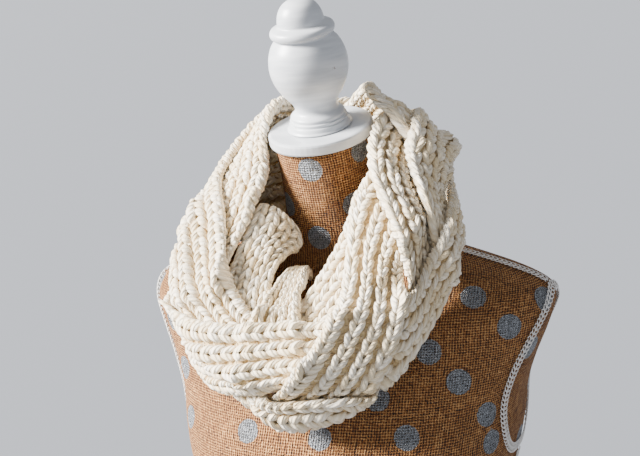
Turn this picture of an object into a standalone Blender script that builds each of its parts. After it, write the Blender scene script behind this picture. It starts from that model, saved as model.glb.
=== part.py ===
"""A braided infinity scarf of chunky ribbed yarn, lying round the neck of a burlap-covered dress form.

Metres, +Z up, the wearer's front towards -Y. The base board stands on Z = 0.
The scarf is a ring of cloth: ANGLE runs round it in degrees (0 at the front, +90 at the +X shoulder) and
DROP runs down it (0 at the rolled top edge, 1 at the hem). Each band of the braid is a short table on that ring.
"""
import math

import bmesh
import bpy
import numpy as np
from mathutils import Vector
from mathutils.bvhtree import BVHTree

MM = 0.001
OBJECT = "infinity_scarf_on_dress_form"
SEAM_GAP = 0.3 * MM

# ---------------------------------------------------------------- dress form
TORSO_SIDES = 36
TORSO_LEVELS = 30
# height, centre y, half width, front depth, back depth, squareness, forward tilt in degrees
TORSO = [
    (0.0183, 0.000, 0.168, 0.108, 0.112, 2.3, 0.0),
    (0.0300, 0.000, 0.177, 0.114, 0.118, 2.3, 0.0),
    (0.0700, 0.000, 0.174, 0.112, 0.112, 2.3, 0.0),
    (0.1150, 0.000, 0.160, 0.105, 0.094, 2.2, 0.0),
    (0.1500, 0.000, 0.153, 0.108, 0.084, 2.2, 0.0),
    (0.1900, 0.000, 0.161, 0.140, 0.082, 2.4, 0.0),
    (0.2300, 0.000, 0.173, 0.162, 0.086, 2.5, 0.0),
    (0.2700, 0.000, 0.182, 0.157, 0.093, 2.4, 0.0),
    (0.3050, 0.000, 0.187, 0.137, 0.101, 2.4, 0.0),
    (0.3350, 0.000, 0.197, 0.120, 0.106, 2.4, 0.0),
    (0.3650, 0.000, 0.210, 0.103, 0.106, 2.4, 0.0),
    (0.3900, 0.000, 0.219, 0.092, 0.100, 2.4, 0.0),
    (0.4060, 0.000, 0.220, 0.082, 0.092, 2.2, 0.0),
    (0.4160, 0.000, 0.212, 0.075, 0.084, 2.0, 0.0),
    (0.4250, 0.000, 0.192, 0.069, 0.077, 2.0, 0.0),
    (0.4350, 0.000, 0.161, 0.063, 0.070, 2.0, 0.0),
    (0.4440, -0.001, 0.130, 0.058, 0.064, 2.0, 0.5),
    (0.4530, -0.002, 0.100, 0.055, 0.058, 2.0, 1.0),
    (0.4640, -0.004, 0.074, 0.053, 0.053, 2.0, 2.0),
    (0.4800, -0.008, 0.056, 0.051, 0.050, 2.0, 4.0),
    (0.5050, -0.013, 0.050, 0.049, 0.049, 2.0, 8.0),
    (0.5350, -0.020, 0.048, 0.048, 0.048, 2.0, 11.0),
]
NECK_TILT = math.radians(12.0)
PLATE_TOP = (0.0, -0.030, 0.580)
PLATE_RADIUS = 53 * MM
PLATE_THICK = 12 * MM
NECK_TOP_RADIUS = 48 * MM
BOARD_HALF = (0.150, 0.098)
BOARD_THICK = 18 * MM

# flat braided trim: places across the ribbon and how far each stands off the cloth
TRIM_SECTION = [
    (-4.5 * MM, 0.95 * MM), (0.0, 0.95 * MM), (4.5 * MM, 0.95 * MM), (3.2 * MM, 3.0 * MM), (-3.2 * MM, 3.0 * MM),
]
SHOULDER_SEAM = (0.4400, 0.4185)
ARMHOLE_MIDDLE = 0.327
ARMHOLE_RISE = 0.084
ARMHOLE_TURN = 20.0
ARMHOLE_STEPS = 56
SIDE_SEAM = (0.2330, 0.0340)
FINIAL_SIDES = 26

# turned finial: radius, height above the plate, from the foot to the crown (mm)
FINIAL = [
    (30.5, 0.3), (31.0, 3.0), (30.0, 6.5), (28.6, 7.2), (28.8, 10.0), (27.4, 11.0), (27.2, 14.0), (24.5, 16.5),
    (22.0, 19.0), (21.5, 23.0), (24.0, 29.0), (30.5, 38.0), (36.5, 50.0), (39.0, 62.0), (38.2, 74.0), (34.5, 85.0),
    (29.6, 92.0), (28.6, 94.5), (31.2, 96.5), (32.0, 100.0), (30.2, 103.5), (25.5, 105.5), (23.2, 107.0),
    (22.8, 111.0), (21.0, 118.0), (16.5, 125.0), (9.0, 129.6), (0.0, 131.0),
]

# ---------------------------------------------------------------- ring that the bands lie on
# angle, inner radius, inner height, outer radius, outer height, bulge; heights from the plate's top
RING = [
    (-180, 0.094, 0.028, 0.126, -0.104, 0.014),
    (-135, 0.078, 0.015, 0.129, -0.106, 0.020),
    (-90, 0.062, -0.040, 0.119, -0.141, 0.027),
    (-45, 0.062, -0.112, 0.112, -0.220, 0.036),
    (0, 0.062, -0.142, 0.109, -0.248, 0.022),
    (45, 0.068, -0.112, 0.112, -0.218, 0.029),
    (90, 0.058, -0.034, 0.126, -0.130, 0.018),
    (135, 0.067, 0.022, 0.124, -0.094, 0.014),
]
RING_CENTRE = (0.0, -0.060, 0.57974)
ROLL_RADIUS = 26 * MM
HEM_ROLL_FROM = 0.93
HEM_ROLL_RADIUS = 14 * MM
CHART_RADIUS = 0.125
CHART_DROP = 0.140

# ---------------------------------------------------------------- bands
WALL = 5.0 * MM
RIB_RISE = 4.0 * MM
RIBS = 4
BAND_GAP = 2.6 * MM
PITCH = WALL + RIB_RISE + BAND_GAP
SECTION_STEP = 10 * MM

# Each strand: half width, then its (angle, drop) rows
STRANDS = {
    "ring": (0.0295, [
        (-155, 0.745), (-147, 0.795), (-137, 0.81), (-120, 0.79), (-90, 0.81), (-75, 0.84), (-60, 0.81), (-42, 0.72),
        (-30, 0.65), (-18, 0.58), (-5, 0.53), (10, 0.51), (22, 0.53), (32, 0.575), (42, 0.655), (52, 0.745),
        (62, 0.81), (73, 0.83), (85, 0.83), (95, 0.86), (105, 0.88), (115, 0.85), (122, 0.77), (125, 0.67),
        (125.3, 0.57), (124.5, 0.47), (124.4, 0.385), (126.2, 0.305), (130, 0.24), (135.5, 0.20), (143, 0.182),
        (152, 0.185), (162, 0.225), (172, 0.32), (181, 0.45), (189, 0.58), (197, 0.68), (205, 0.745)]),
    "throat": (0.028, [
        (-145, 0.29), (-130, 0.38), (-115, 0.45), (-101, 0.45), (-86, 0.40), (-71, 0.34), (-54, 0.34), (-36, 0.40),
        (-20, 0.46), (0, 0.44), (14, 0.34), (25, 0.22), (35, 0.16), (45, 0.13), (58, 0.13), (70, 0.16), (79, 0.20),
        (87, 0.26)]),
    "shoulder": (0.026, [
        (92, 0.88), (92.5, 0.74), (93.5, 0.62), (97, 0.515), (105, 0.43), (114, 0.39), (124, 0.41), (138, 0.49),
        (152, 0.53), (166, 0.50), (182, 0.41), (200, 0.31), (215, 0.29)]),
    "back": (0.031, [
        (122, 0.78), (135, 0.79), (150, 0.78), (165, 0.75), (180, 0.67), (195, 0.51), (208, 0.35),
        (220, 0.22), (235, 0.14), (255, 0.10), (270, 0.10), (282, 0.14), (293, 0.22), (302, 0.32),
        (310, 0.43)]),
    "fold": (0.025, [
        (-68, -0.20), (-60, -0.17), (-52, -0.11), (-44, -0.03), (-36, 0.06), (-29, 0.17), (-25, 0.24), (-21, 0.32)]),
    "cross": (0.033, [
        (2, 1.05), (8, 0.98), (14.5, 0.90), (23, 0.80), (32, 0.67), (40, 0.54), (47.5, 0.41), (56, 0.27), (66, 0.225),
        (78, 0.23)]),
    "tuck": (0.032, [(-5, -0.22), (-3, -0.10), (-1, 0.05), (0, 0.25), (1, 0.45), (2, 0.62)]),
    "outer": (0.028, [
        (-150, 0.70), (-135, 0.66), (-120, 0.62), (-105, 0.60), (-90, 0.58), (-80, 0.58), (-65, 0.58), (-50, 0.63),
        (-41, 0.65), (-30, 0.71), (-20, 0.84), (-10, 0.96), (0, 1.00), (12, 1.00), (22, 1.02), (31, 1.08),
        (40, 1.14), (49, 1.12), (58, 1.03), (65.5, 0.90), (71, 0.75), (75, 0.60), (79, 0.45), (84.5, 0.31),
        (92, 0.22), (103, 0.20), (119, 0.26), (135, 0.42), (150, 0.58), (165, 0.68), (180, 0.74), (195, 0.73),
        (210, 0.70)]),
}
# from angle, to angle, from drop, to drop, and there the strands from the lowest to the uppermost
ORDER = [
    (-150, -60, -1.0, 2.0, ("outer", "fold", "back", "throat", "shoulder", "ring")),
    (-60, -25, -1.0, 2.0, ("outer", "fold", "back", "throat", "tuck", "ring")),
    (-25, -1, -1.0, 2.0, ("cross", "outer", "fold", "back", "throat", "tuck", "ring")),
    (-1, 42, -1.0, 2.0, ("fold", "back", "throat", "tuck", "ring", "cross", "outer")),
    (42, 62, -1.0, 2.0, ("outer", "throat", "tuck", "ring", "cross")),
    (62, 93, -1.0, 2.0, ("throat", "cross", "outer", "back", "shoulder", "ring")),
    (93, 112, 0.62, 2.0, ("throat", "outer", "back", "shoulder", "ring")),
    (93, 112, -1.0, 0.62, ("throat", "outer", "back", "ring", "shoulder")),
    (112, 210, -1.0, 2.0, ("outer", "back", "throat", "ring", "shoulder")),
]
# node, strand, from and to as shares of the strand's length
STRETCHES = [
    ("scarf_front_band", "ring", 0.00, 0.47),
    ("scarf_right_band", "ring", 0.47, 0.73),
    ("scarf_nape_band", "ring", 0.73, 1.00),
    ("scarf_left_band", "throat", 0.00, 0.60),
    ("scarf_throat_band", "throat", 0.60, 1.00),
    ("scarf_shoulder_band", "shoulder", 0.00, 1.00),
    ("scarf_back_band", "back", 0.00, 0.52),
    ("scarf_inner_band", "back", 0.52, 1.00),
    ("scarf_inner_fold", "fold", 0.00, 1.00),
    ("scarf_cross_band", "cross", 0.00, 1.00),
    ("scarf_tuck", "tuck", 0.00, 1.00),
    ("scarf_outer_band", "outer", 0.00, 0.33),
    ("scarf_hem_band", "outer", 0.33, 0.56),
    ("scarf_collar_band", "outer", 0.56, 0.76),
    ("scarf_spine_band", "outer", 0.76, 1.00),
]
# strands that lie up against the one above them
NESTLED = {"fold": 2.0 * MM, "tuck": 1.4 * MM}
GRID_ANGLES = 180
GRID_DROPS = np.linspace(-0.5, 1.4, 96)
SETTLE_ROUNDS = 70
SETTLE_PULL = 0.02
COVER_MARGIN = 4 * MM
REST_GAP = 0.2 * MM
REST_REACH = 10 * MM
REST_STEP = 0.25 * MM


def through(rows, x, period=None):
    """Catmull-Rom values at x through rows of (x, y, ...), wrapped round when a period is given."""
    rows = np.array(rows, float)
    if period:
        rows = np.vstack([rows[-2:], rows, rows[:3]])
        rows[:2, 0] -= period
        rows[-3:, 0] += period
        x = (np.asarray(x, float) - rows[2, 0]) % period + rows[2, 0]
    else:
        first = 2 * rows[0] - rows[1]
        last = 2 * rows[-1] - rows[-2]
        rows = np.vstack([first, rows, last])
        x = np.asarray(x, float)
    knots, values = rows[:, 0], rows[:, 1:]
    i = np.clip(np.searchsorted(knots, x, side="right") - 1, 1, len(knots) - 3)
    span = knots[i + 1] - knots[i]
    t = ((x - knots[i]) / span)[..., None]
    before = (values[i + 1] - values[i - 1]) * (span / (knots[i + 1] - knots[i - 1]))[..., None]
    after = (values[i + 2] - values[i]) * (span / (knots[i + 2] - knots[i]))[..., None]
    return ((2 * t**3 - 3 * t**2 + 1) * values[i] + (t**3 - 2 * t**2 + t) * before
            + (3 * t**2 - 2 * t**3) * values[i + 1] + (t**3 - t**2) * after)


def ring_point(angle, drop):
    """The ring's own surface: it bulges from top edge to hem, and rolls inwards beyond both."""
    angle, drop = np.broadcast_arrays(np.asarray(angle, float), np.asarray(drop, float))
    r_in, z_in, r_out, z_out, bulge = np.moveaxis(through(RING, angle, 360.0), -1, 0)
    down = np.clip(drop, 0.0, HEM_ROLL_FROM)
    radius = r_in + (r_out - r_in) * down + 4 * bulge * down * (1 - down)
    height = z_in + (z_out - z_in) * down
    slope = r_out - r_in + 4 * bulge * (1 - 2 * down)
    heading = np.arctan2(z_out - z_in, slope)
    top_turn = CHART_DROP * np.maximum(-drop, 0.0) / ROLL_RADIUS
    hem_turn = CHART_DROP * np.maximum(drop - HEM_ROLL_FROM, 0.0) / HEM_ROLL_RADIUS
    radius = radius + ROLL_RADIUS * (np.sin(heading) - np.sin(heading + top_turn))
    height = height + ROLL_RADIUS * (np.cos(heading + top_turn) - np.cos(heading))
    radius = radius + HEM_ROLL_RADIUS * (np.sin(heading) - np.sin(heading - hem_turn))
    height = height + HEM_ROLL_RADIUS * (np.cos(heading - hem_turn) - np.cos(heading))
    turn = np.radians(angle)
    return np.stack([RING_CENTRE[0] + radius * np.sin(turn), RING_CENTRE[1] - radius * np.cos(turn),
                     RING_CENTRE[2] + height], -1)


def ring_normal(angle, drop):
    along = ring_point(angle + 1.0, drop) - ring_point(angle - 1.0, drop)
    down = ring_point(angle, drop + 0.02) - ring_point(angle, drop - 0.02)
    normal = np.cross(down, along)
    return normal / np.linalg.norm(normal, axis=-1, keepdims=True)


# ---------------------------------------------------------------- the form under the bands
def torso_rows():
    top = (PLATE_TOP[2] - (PLATE_THICK + SEAM_GAP) * math.cos(NECK_TILT),
           PLATE_TOP[1] + (PLATE_THICK + SEAM_GAP) * math.sin(NECK_TILT),
           NECK_TOP_RADIUS, NECK_TOP_RADIUS, NECK_TOP_RADIUS, 2.0, math.degrees(NECK_TILT))
    rows = TORSO + [top]
    return [(index,) + row for index, row in enumerate(rows)]


def torso_point(turn, level, out=0.0):
    """A point of the torso: turn in degrees from the front, level in rows of the torso's table."""
    height, centre, half, front, back, square, tilt = np.moveaxis(through(torso_rows(), level), -1, 0)
    sine, cosine = np.sin(np.radians(turn)), np.cos(np.radians(turn))
    x = (half + out) * np.sign(sine) * np.abs(sine) ** (2 / square)
    depth = np.where(cosine > 0, front, back) + out
    y = -depth * np.sign(cosine) * np.abs(cosine) ** (2 / square)
    lean = np.radians(tilt)
    return np.stack(np.broadcast_arrays(x, centre + y * np.cos(lean), height + y * np.sin(lean)), -1)


def within_form(point, out):
    """Whether points lie inside the torso or the neck plate, both grown by `out`."""
    x, y, z = np.moveaxis(point, -1, 0)
    levels = np.linspace(0, len(TORSO), 200)
    rows = through(torso_rows(), levels)
    height, back_lift = z, 0.0
    for _ in range(3):
        height = z - back_lift
        centre, half, front, back, square, tilt = (np.interp(height, rows[:, 0], rows[:, k]) for k in range(1, 7))
        back_lift = (y - centre) * np.tan(np.radians(tilt))
    depth = np.where(y < centre, front, back) + out
    across = np.abs(x / (half + out)) ** square + np.abs((y - centre) / depth) ** square
    rise = (z - PLATE_TOP[2]) * math.cos(NECK_TILT) - (y - PLATE_TOP[1]) * math.sin(NECK_TILT)
    ahead = (y - PLATE_TOP[1]) * math.cos(NECK_TILT) + (z - PLATE_TOP[2]) * math.sin(NECK_TILT)
    plate = (np.hypot(x, ahead) < PLATE_RADIUS + out) & (rise < out) & (rise > -PLATE_THICK - out)
    return ((across < 1) & (rise < 0)) | plate


def form_floor():
    """How far off the ring a band must stand to lie on the form instead of in it."""
    angle = np.arange(GRID_ANGLES)[:, None] * 360 / GRID_ANGLES
    drop = GRID_DROPS[None, :]
    base, normal = ring_point(angle, drop), ring_normal(angle, drop)
    floor = np.zeros(base.shape[:2])
    for lift in np.arange(0, REST_REACH, REST_STEP):
        inside = within_form(base + normal * lift, REST_GAP)
        floor = np.where(inside, lift + REST_STEP, floor)
    return floor


# ---------------------------------------------------------------- how the bands lie over each other
def to_chart(rows):
    return np.array([(CHART_RADIUS * math.radians(angle), CHART_DROP * drop) for angle, drop in rows])


def strand_path(name, step):
    """Evenly spaced places along a strand's middle on the flat chart, with the sideways direction at each."""
    rows = STRANDS[name][1]
    endless = rows[-1][0] - rows[0][0] > 359
    if endless:
        before, after = rows[-2], rows[1]
        rows = [(before[0] - 360, before[1]), *rows, (after[0] + 360, after[1])]
    chart = to_chart(rows)
    chord = np.concatenate([[0], np.cumsum(np.hypot(*np.diff(chart, axis=0).T))])
    knots = np.column_stack([chord, chart])
    first, last = (chord[1], chord[-2]) if endless else (chord[0], chord[-1])
    place = np.linspace(first, last, 600)
    fine = through(knots, place)
    heading = through(knots, place + 0.5 * MM) - through(knots, place - 0.5 * MM)
    heading /= np.linalg.norm(heading, axis=1, keepdims=True)
    run = np.concatenate([[0], np.cumsum(np.hypot(*np.diff(fine, axis=0).T))])
    count = max(4, round(run[-1] / step)) + 1
    even = np.linspace(0, run[-1], count)
    middle = np.column_stack([np.interp(even, run, fine[:, k]) for k in (0, 1)])
    side = np.column_stack([np.interp(even, run, side_part) for side_part in (-heading[:, 1], heading[:, 0])])
    return middle, side


def covered(name, margin):
    """Which points of the ring's grid a strand lies over."""
    half = STRANDS[name][0]
    middle, side = strand_path(name, 4 * MM)
    around = 2 * math.pi * CHART_RADIUS
    grid_x = CHART_RADIUS * np.radians(np.arange(GRID_ANGLES) * 360 / GRID_ANGLES)
    grid_y = CHART_DROP * GRID_DROPS
    across_x = (grid_x[:, None, None] - middle[:, 0] + around / 2) % around - around / 2
    across_y = grid_y[None, :, None] - middle[:, 1]
    distance = np.hypot(across_x, across_y)
    nearest = distance.argmin(axis=-1)
    best = np.take_along_axis(distance, nearest[..., None], -1)[..., 0]
    ahead = (np.take_along_axis(across_x, nearest[..., None], -1)[..., 0] * side[nearest, 1]
             - np.take_along_axis(across_y, nearest[..., None], -1)[..., 0] * side[nearest, 0])
    return (best < half + margin) & (np.abs(ahead) < 4 * MM + margin)


def blurred(field):
    along = (np.roll(field, 1, 0) + np.roll(field, -1, 0) + 2 * field) / 4
    padded = np.pad(along, ((0, 0), (1, 1)), mode="edge")
    return (padded[:, :-2] + padded[:, 2:] + 2 * along) / 4


def settled_heights():
    """How far each strand stands off the ring: it sinks towards it, but never through the strands it crosses."""
    angles = np.arange(GRID_ANGLES) * 360 / GRID_ANGLES
    cover = {name: covered(name, COVER_MARGIN) for name in STRANDS}
    crossings = []
    for start, stop, least, most, order in ORDER:
        within = ((angles - start) % 360 < stop - start)[:, None] & (GRID_DROPS >= least) & (GRID_DROPS < most)
        for place, upper in enumerate(order):
            crossings += [(upper, lower, cover[upper] & cover[lower] & within) for lower in order[:place]]
    floor = form_floor()
    heights = {name: floor.copy() for name in STRANDS}
    for _ in range(SETTLE_ROUNDS):
        for name in STRANDS:
            heights[name] = np.maximum(blurred(heights[name]) * (1 - SETTLE_PULL), floor)
        for upper, lower, where in crossings:
            lifted = np.maximum(heights[upper], heights[lower] + PITCH)
            heights[upper] = np.where(where, lifted, heights[upper])
    return heights


def height_at(field, angle, drop):
    """The settled height between the grid's points."""
    x = (np.asarray(angle) % 360) * GRID_ANGLES / 360
    y = (np.asarray(drop) - GRID_DROPS[0]) / (GRID_DROPS[1] - GRID_DROPS[0])
    y = np.clip(y, 0, len(GRID_DROPS) - 1.001)
    i, j = np.floor(x).astype(int), np.floor(y).astype(int)
    fx, fy = x - i, y - j
    i, after = i % GRID_ANGLES, (i + 1) % GRID_ANGLES
    return ((1 - fx) * (1 - fy) * field[i, j] + fx * (1 - fy) * field[after, j]
            + (1 - fx) * fy * field[i, j + 1] + fx * fy * field[after, j + 1])


# ---------------------------------------------------------------- meshes
def rib_rise(across):
    """Ribs stand on the outer face only; across runs from -1 to 1 over the band."""
    return RIB_RISE * np.abs(np.sin(math.pi * RIBS * (across + 1) / 2)) ** 0.6


def band_section():
    """One band's cross-section: (across, rise) pairs, round its outer face and back along its plain inside."""
    outer = np.linspace(-1, 1, 2 * RIBS + 1)
    rise = WALL * (1 - 0.35 * np.abs(outer) ** 6) + rib_rise(outer)
    inner = np.array([0.93, 0.56, 0.19, -0.19, -0.56, -0.93])
    lift = 0.22 * WALL * np.abs(inner) ** 6
    return np.concatenate([outer, inner]), np.concatenate([rise, lift])


def end_faces(across):
    """Triangles over a band's end, zipped between its outer and inner points so that both sides of a seam match."""
    outer = list(range(2 * RIBS + 1))
    inner = list(range(len(across) - 1, 2 * RIBS, -1))
    faces, a, b = [], 0, 0
    while a < len(outer) - 1 or b < len(inner) - 1:
        ahead = b == len(inner) - 1 or (a < len(outer) - 1 and across[outer[a + 1]] <= across[inner[b + 1]])
        if ahead:
            faces.append((outer[a], outer[a + 1], inner[b]))
            a += 1
        else:
            faces.append((outer[a], inner[b + 1], inner[b]))
            b += 1
    return faces


def loft(name, rings, material, endless=False, ends=None):
    """A closed skin through rings of the same number of points: faces over each end, or an endless loop."""
    rings = np.asarray(rings)
    count, sides = rings.shape[:2]
    mesh = bpy.data.meshes.new(name)
    pairs = [(row, (row + 1) % count) for row in range(count if endless else count - 1)]
    faces = [
        (row * sides + k, row * sides + (k + 1) % sides, after * sides + (k + 1) % sides, after * sides + k)
        for row, after in pairs for k in range(sides)
    ]
    if not endless:
        ends = ends or [tuple(range(sides))]
        faces += ends + [tuple((count - 1) * sides + k for k in face) for face in ends]
    mesh.from_pydata([tuple(point) for point in rings.reshape(-1, 3)], [], faces)
    closed = bmesh.new()
    closed.from_mesh(mesh)
    bmesh.ops.recalc_face_normals(closed, faces=closed.faces)
    closed.to_mesh(mesh)
    closed.free()
    return place_mesh(name, mesh, material)


def place_mesh(name, mesh, material):
    mesh.polygons.foreach_set("use_smooth", [True] * len(mesh.polygons))
    mesh.materials.append(material)
    part = bpy.data.objects.new(name, mesh)
    PARTS.objects.link(part)
    return part


def build_bands(material):
    heights = settled_heights()
    across, rise = band_section()
    for name, strand, start, stop in STRETCHES:
        half = STRANDS[strand][0]
        middle, side = strand_path(strand, SECTION_STEP / 4)
        first, last = round(start * (len(middle) - 1)), round(stop * (len(middle) - 1))
        count = max(3, round((last - first) / 4))
        picks = np.linspace(first, last, count + 1)
        trim = SEAM_GAP / 2 / (SECTION_STEP / 4)
        picks[0] += trim
        picks[-1] -= trim
        index = np.arange(len(middle))
        centre = np.column_stack([np.interp(picks, index, middle[:, k]) for k in (0, 1)])
        lateral = np.column_stack([np.interp(picks, index, side[:, k]) for k in (0, 1)])
        chart = centre[:, None, :] + lateral[:, None, :] * (across * half)[None, :, None]
        angle = np.degrees(chart[..., 0] / CHART_RADIUS)
        drop = chart[..., 1] / CHART_DROP
        stand = height_at(heights[strand], angle, drop) + rise[None, :] + NESTLED.get(strand, 0.0)
        rings = ring_point(angle, drop) + ring_normal(angle, drop) * stand[..., None]
        loft(name, rings, material, ends=end_faces(across))


def build_torso(material):
    turns = np.arange(TORSO_SIDES) * 360 / TORSO_SIDES
    levels = np.linspace(0, len(TORSO), TORSO_LEVELS)
    return loft("form_torso", [torso_point(turns, level) for level in levels], material)


def torso_level(height):
    levels = np.linspace(0, len(TORSO), 400)
    return np.interp(height, through(torso_rows(), levels)[:, 0], levels)


def trim_rings(path, skin):
    """A ribbon's sections along (turn, height) places on the torso, each laid on the torso's own faces."""
    turn, level = path[:, 0], torso_level(path[:, 1])
    around = (torso_point(turn + 0.5, level) - torso_point(turn - 0.5, level)) / 1.0
    rising = (torso_point(turn, level + 0.05) - torso_point(turn, level - 0.05)) / 0.1
    along = np.gradient(torso_point(turn, level), axis=0)
    if np.allclose(path[0], path[-1]):
        along[0] = along[-1] = along[0] + along[-1]
    normal = np.cross(around, rising)
    normal /= np.linalg.norm(normal, axis=1, keepdims=True)
    side = np.cross(normal, along)
    side /= np.linalg.norm(side, axis=1, keepdims=True)
    rings = []
    for k in range(len(path)):
        step = np.linalg.lstsq(np.column_stack([around[k], rising[k]]), side[k], rcond=None)[0]
        ring = []
        for across, out in TRIM_SECTION:
            on_cloth = Vector(torso_point(turn[k] + step[0] * across, level[k] + step[1] * across))
            ring.append(skin.find_nearest(on_cloth)[0] + Vector(normal[k]) * out)
        rings.append(ring)
    return rings


def build_trims(torso, material):
    skin = BVHTree.FromPolygons([vertex.co for vertex in torso.data.vertices],
                                [tuple(face.vertices) for face in torso.data.polygons])
    around = np.radians(np.linspace(0, 360, ARMHOLE_STEPS + 1))
    for side, sign in (("left", 1), ("right", -1)):
        seam = np.column_stack([np.full(10, 90.0), np.linspace(*SHOULDER_SEAM, 10)])
        armhole = np.column_stack([90 - ARMHOLE_TURN * np.sin(around), ARMHOLE_MIDDLE + ARMHOLE_RISE * np.cos(around)])
        below = np.column_stack([np.full(18, 90.0), np.linspace(*SIDE_SEAM, 18)])
        for place, path in (("shoulder", seam), ("armhole", armhole), ("side", below)):
            endless = place == "armhole"
            rings = np.array(trim_rings(path, skin))[:-1 if endless else None]
            rings[..., 0] *= sign
            loft(f"{side}_{place}_trim", rings, material, endless)


def soften(part, width, segments):
    bevel = part.modifiers.new("softened_edge", "BEVEL")
    bevel.width = width
    bevel.segments = segments
    bevel.limit_method = "ANGLE"
    bevel.angle_limit = math.radians(40)


def add_disc(name, radius, thick, sides, material):
    bpy.ops.mesh.primitive_cylinder_add(vertices=sides, radius=radius, depth=thick)
    part = bpy.context.object
    part.name = part.data.name = name
    part.data.materials.append(material)
    part.data.polygons.foreach_set("use_smooth", [len(face.vertices) == 4 for face in part.data.polygons])
    for home in list(part.users_collection):
        home.objects.unlink(part)
    PARTS.objects.link(part)
    return part


def build_plate(material):
    plate = add_disc("neck_plate", PLATE_RADIUS, PLATE_THICK, 56, material)
    plate.rotation_euler = (NECK_TILT, 0, 0)
    plate.location = (PLATE_TOP[0], PLATE_TOP[1] + PLATE_THICK / 2 * math.sin(NECK_TILT),
                      PLATE_TOP[2] - PLATE_THICK / 2 * math.cos(NECK_TILT))
    soften(plate, 2.5 * MM, 2)


def build_board(material):
    board = add_disc("base_board", 1.0, BOARD_THICK, 64, material)
    board.scale = (BOARD_HALF[0], BOARD_HALF[1], 1.0)
    board.location = (0, 0, BOARD_THICK / 2)
    bpy.context.view_layer.objects.active = board
    bpy.ops.object.transform_apply(location=False, rotation=False, scale=True)
    soften(board, 2.5 * MM, 2)


def build_finial(material):
    profile = [(0.0, FINIAL[0][1])] + FINIAL
    mesh = bpy.data.meshes.new("finial")
    points = [(radius * MM, 0.0, height * MM) for radius, height in reversed(profile)]
    mesh.from_pydata(points, [(k, k + 1) for k in range(len(points) - 1)], [])
    finial = place_mesh("finial", mesh, material)
    turned = finial.modifiers.new("turned", "SCREW")
    turned.axis = "Z"
    turned.steps = turned.render_steps = FINIAL_SIDES
    turned.use_merge_vertices = True
    turned.merge_threshold = 0.0001
    turned.use_smooth_shade = True
    finial.rotation_euler = (NECK_TILT, 0, 0)
    finial.location = PLATE_TOP


def reset_scene():
    for item in list(bpy.data.objects):
        bpy.data.objects.remove(item, do_unlink=True)
    parts = bpy.data.collections.new(OBJECT)
    bpy.context.scene.collection.children.link(parts)
    return parts


def finish(name, colour, roughness):
    material = bpy.data.materials.new(name)
    material.use_nodes = True
    shader = material.node_tree.nodes["Principled BSDF"]
    shader.inputs["Base Color"].default_value = (*colour, 1.0)
    shader.inputs["Roughness"].default_value = roughness
    return material


PARTS = reset_scene()
WHITE_WOOD = finish("painted_wood", (0.86, 0.86, 0.87), 0.35)
build_board(WHITE_WOOD)
TORSO_SKIN = build_torso(finish("burlap", (0.42, 0.25, 0.12), 0.9))
build_trims(TORSO_SKIN, finish("gimp_braid", (0.78, 0.76, 0.74), 0.8))
build_plate(WHITE_WOOD)
build_finial(WHITE_WOOD)
build_bands(finish("wool_yarn", (0.84, 0.79, 0.69), 0.9))
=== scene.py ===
"""Looks of the braided infinity scarf on its dress form: yarn stitches laid on each stretch of the braid,
burlap with silver dots, looped gimp braid and worn white paint. Metres, +Z up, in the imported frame.
"""

import math

import bpy
import numpy as np
from mathutils import Matrix, Vector


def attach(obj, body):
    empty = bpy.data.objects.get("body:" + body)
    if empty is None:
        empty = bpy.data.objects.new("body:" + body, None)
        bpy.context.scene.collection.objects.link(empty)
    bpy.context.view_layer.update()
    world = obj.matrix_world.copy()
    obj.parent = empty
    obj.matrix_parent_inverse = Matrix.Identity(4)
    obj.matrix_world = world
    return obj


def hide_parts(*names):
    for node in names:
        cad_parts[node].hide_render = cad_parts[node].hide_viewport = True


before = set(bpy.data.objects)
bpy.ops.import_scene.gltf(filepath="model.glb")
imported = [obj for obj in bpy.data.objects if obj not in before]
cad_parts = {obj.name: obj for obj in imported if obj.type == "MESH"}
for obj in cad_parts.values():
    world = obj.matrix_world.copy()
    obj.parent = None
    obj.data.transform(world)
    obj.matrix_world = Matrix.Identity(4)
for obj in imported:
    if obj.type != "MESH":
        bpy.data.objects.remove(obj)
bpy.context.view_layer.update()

MM = 0.001
SEAM_GAP = 0.3 * MM

# ---------------------------------------------------------------- camera
# a little above, off to the +X side of the front
AZIMUTH, ELEVATION, ROLL = 25.0, 14.5, -5.5
FOCAL_PIXELS = 1250.0
IMAGE_WIDTH, IMAGE_HEIGHT = 640, 456
PLATE_PIXEL = (320.0, 125.0)
CAMERA_DISTANCE = 1.25

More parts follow.
